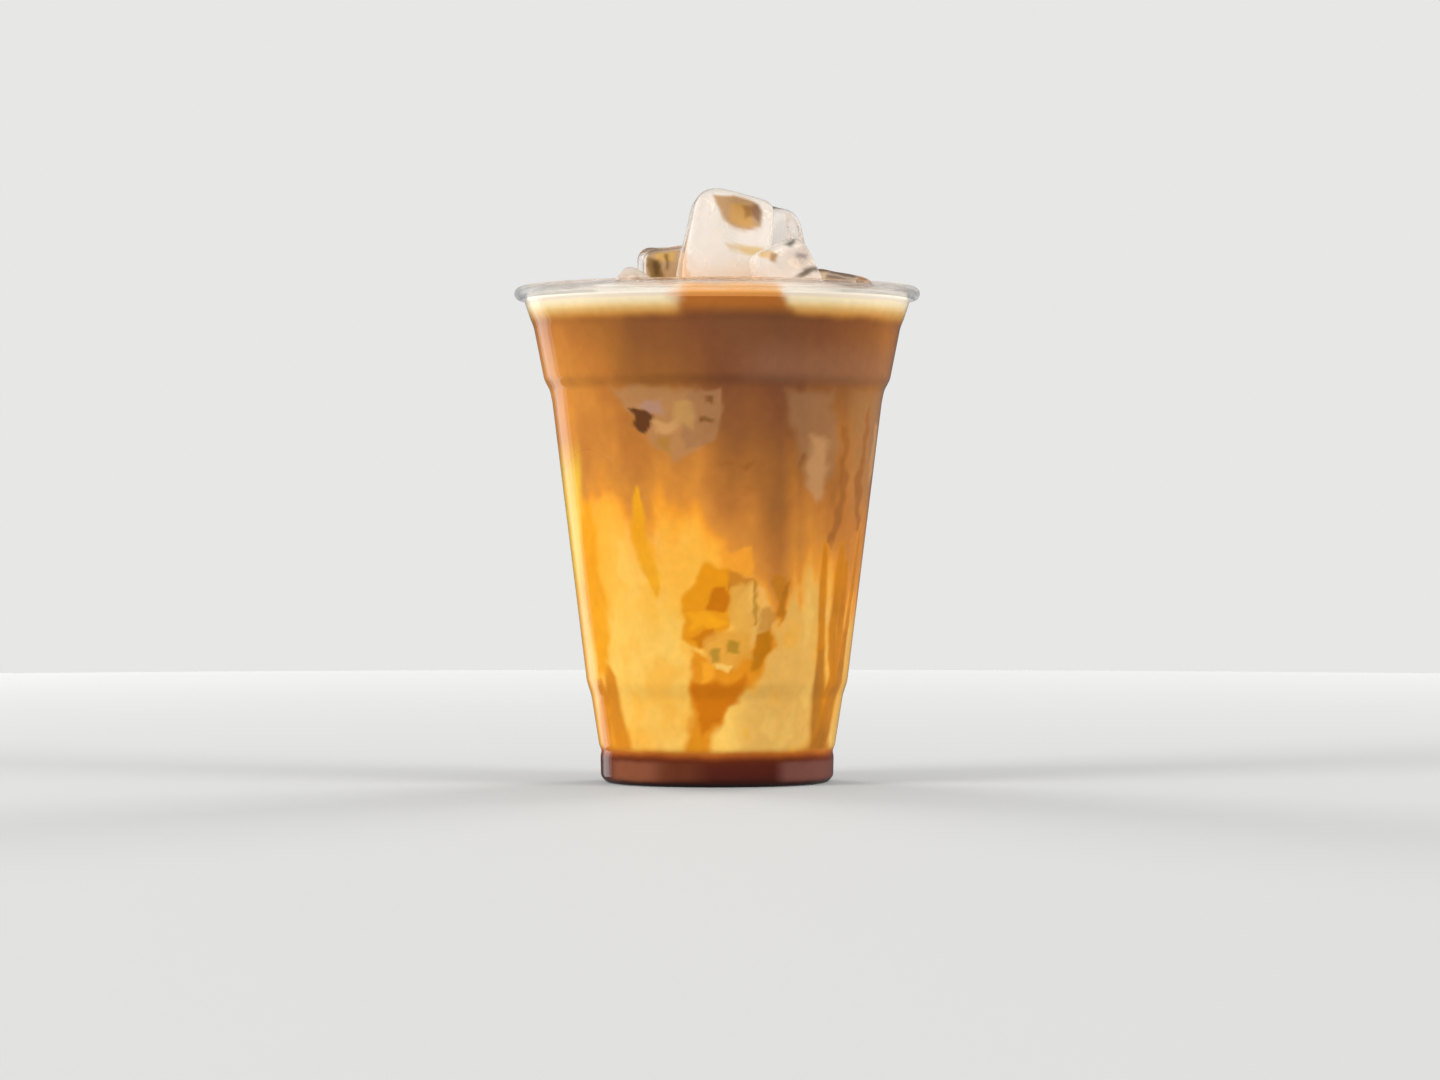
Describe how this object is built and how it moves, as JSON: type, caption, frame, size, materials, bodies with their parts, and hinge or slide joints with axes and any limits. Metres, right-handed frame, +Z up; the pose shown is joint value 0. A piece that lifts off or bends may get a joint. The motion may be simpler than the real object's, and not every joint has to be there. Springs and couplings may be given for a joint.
{
  "type": "iced caramel coffee in a clear cup",
  "caption": "Tall tapered clear plastic cup with a rolled rim, filled with layers of dark caramel, golden milk and brown coffee, with ice cubes heaped over the rim.",
  "frame": {"origin": "on the cup's axis, at the level of the table it stands on", "axes": "+Z up along the cup's axis, which is the longest extent; -Y towards the front that the picture shows, +X to its right"},
  "size_m": [0.098, 0.098, 0.1429],
  "materials": {
    "clear_plastic": "clear thermoformed PET sheet, glossy on both sides",
    "caramel": "dark, dense caramel syrup, glossy and nearly opaque",
    "milk": "milk tinted golden by caramel, opaque, with amber runs",
    "coffee": "brown milky coffee, opaque, with a wet surface",
    "ice": "clear wet ice with cloudy white cores and coffee stains"
  },
  "bodies": {
    "root": {"cup": "clear_plastic", "caramel_layer": "caramel", "milk_layer": "milk", "coffee_layer": "coffee", "ice_peak": "ice", "ice_left": "ice", "ice_chip": "ice", "ice_front_right": "ice", "ice_right": "ice", "ice_back_high": "ice", "ice_back_left": "ice", "ice_back": "ice", "ice_back_right": "ice"}
  },
  "joints": []
}
